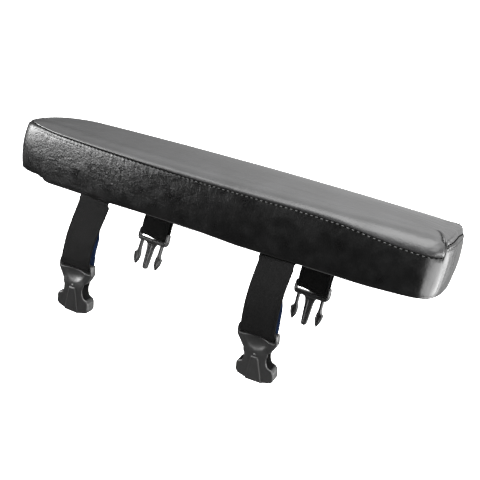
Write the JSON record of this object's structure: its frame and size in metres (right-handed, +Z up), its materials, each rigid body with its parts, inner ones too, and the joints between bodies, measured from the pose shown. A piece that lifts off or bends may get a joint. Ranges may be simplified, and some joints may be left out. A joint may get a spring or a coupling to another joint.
{
  "type": "chair armrest pad",
  "caption": "Long upholstered armrest pad with a domed leatherette cover on a board, and webbing straps with side-release buckles that close under a chair's arm.",
  "frame": {"origin": "centre of the underside face that rests on the chair's arm", "axes": "+Z up, +X along the pad towards the end with the gathered cover corner, +Y towards the long edge with the short straps"},
  "size_m": [0.3266, 0.1067, 0.1276],
  "materials": {
    "plywood": "raw",
    "foam": "open cell foam",
    "soft_foam": "open cell foam",
    "leatherette_top": "satin smooth grain",
    "leatherette_side": "satin wrinkled grain",
    "thread": "twisted thread",
    "cloth": "non-woven",
    "staple_steel": "galvanised",
    "webbing": "woven matte",
    "buckle": "fine spark texture"
  },
  "bodies": {
    "root": {"base_board": "plywood", "foam_core": "foam", "comfort_foam": "soft_foam", "cover_top_panel": "leatherette_top", "cover_side_band": "leatherette_side", "seam_thread": "thread", "underside_cloth": "cloth", "hem_staples": "staple_steel", "strap_staples": "staple_steel", "front_left_tab": "webbing", "front_right_tab": "webbing", "rear_left_tab": "webbing", "rear_right_tab": "webbing"},
    "front_left_strap": {"front_left_strap": "webbing"},
    "front_left_socket": {"front_left_socket": "buckle"},
    "front_right_strap": {"front_right_strap": "webbing"},
    "front_right_socket": {"front_right_socket": "buckle"},
    "rear_left_strap": {"rear_left_strap": "webbing"},
    "rear_left_plug": {"rear_left_plug": "buckle"},
    "rear_left_prong_a": {"rear_left_prong_a": "buckle"},
    "rear_left_prong_b": {"rear_left_prong_b": "buckle"},
    "rear_right_strap": {"rear_right_strap": "webbing"},
    "rear_right_plug": {"rear_right_plug": "buckle"},
    "rear_right_prong_a": {"rear_right_prong_a": "buckle"},
    "rear_right_prong_b": {"rear_right_prong_b": "buckle"}
  },
  "joints": [
    {"name": "front_left_strap_fold", "type": "hinge", "parent": "root", "child": "front_left_strap", "pos_m": [-0.0762, -0.0446, 0.0006], "axis": [1, 0, 0], "range_deg": [-90, 70]},
    {"name": "front_left_socket_pivot", "type": "hinge", "parent": "front_left_strap", "child": "front_left_socket", "pos_m": [-0.0762, -0.0524, -0.0449], "axis": [-1, 0, 0], "range_deg": [-50, 50]},
    {"name": "front_right_strap_fold", "type": "hinge", "parent": "root", "child": "front_right_strap", "pos_m": [0.0652, -0.0446, 0.0006], "axis": [1, 0, 0], "range_deg": [-90, 70]},
    {"name": "front_right_socket_pivot", "type": "hinge", "parent": "front_right_strap", "child": "front_right_socket", "pos_m": [0.0652, -0.0476, -0.046], "axis": [-1, 0, 0], "range_deg": [-50, 50]},
    {"name": "rear_left_strap_fold", "type": "hinge", "parent": "root", "child": "rear_left_strap", "pos_m": [-0.0756, 0.0446, 0.0006], "axis": [1, 0, 0], "range_deg": [-70, 90]},
    {"name": "rear_left_plug_pivot", "type": "hinge", "parent": "rear_left_strap", "child": "rear_left_plug", "pos_m": [-0.0756, 0.0448, -0.0369], "axis": [-1, 0, 0], "range_deg": [-50, 50]},
    {"name": "rear_left_prong_a_flex", "type": "hinge", "parent": "rear_left_plug", "child": "rear_left_prong_a", "pos_m": [-0.0853, 0.0428, -0.04629], "axis": [0, -0.9781, 0.2079], "range_deg": [0, 8], "stiffness_Nm_per_rad": 0.05},
    {"name": "rear_left_prong_b_flex", "type": "hinge", "parent": "rear_left_plug", "child": "rear_left_prong_b", "pos_m": [-0.0659, 0.0428, -0.04629], "axis": [0, 0.9781, -0.2079], "range_deg": [0, 8], "stiffness_Nm_per_rad": 0.05},
    {"name": "rear_right_strap_fold", "type": "hinge", "parent": "root", "child": "rear_right_strap", "pos_m": [0.066, 0.0446, 0.0006], "axis": [1, 0, 0], "range_deg": [-70, 90]},
    {"name": "rear_right_plug_pivot", "type": "hinge", "parent": "rear_right_strap", "child": "rear_right_plug", "pos_m": [0.066, 0.045, -0.0362], "axis": [-1, 0, 0], "range_deg": [-50, 50]},
    {"name": "rear_right_prong_a_flex", "type": "hinge", "parent": "rear_right_plug", "child": "rear_right_prong_a", "pos_m": [0.0563, 0.04433, -0.04578], "axis": [0, -0.9976, 0.0698], "range_deg": [0, 8], "stiffness_Nm_per_rad": 0.05},
    {"name": "rear_right_prong_b_flex", "type": "hinge", "parent": "rear_right_plug", "child": "rear_right_prong_b", "pos_m": [0.0757, 0.04433, -0.04578], "axis": [0, 0.9976, -0.0698], "range_deg": [0, 8], "stiffness_Nm_per_rad": 0.05}
  ]
}
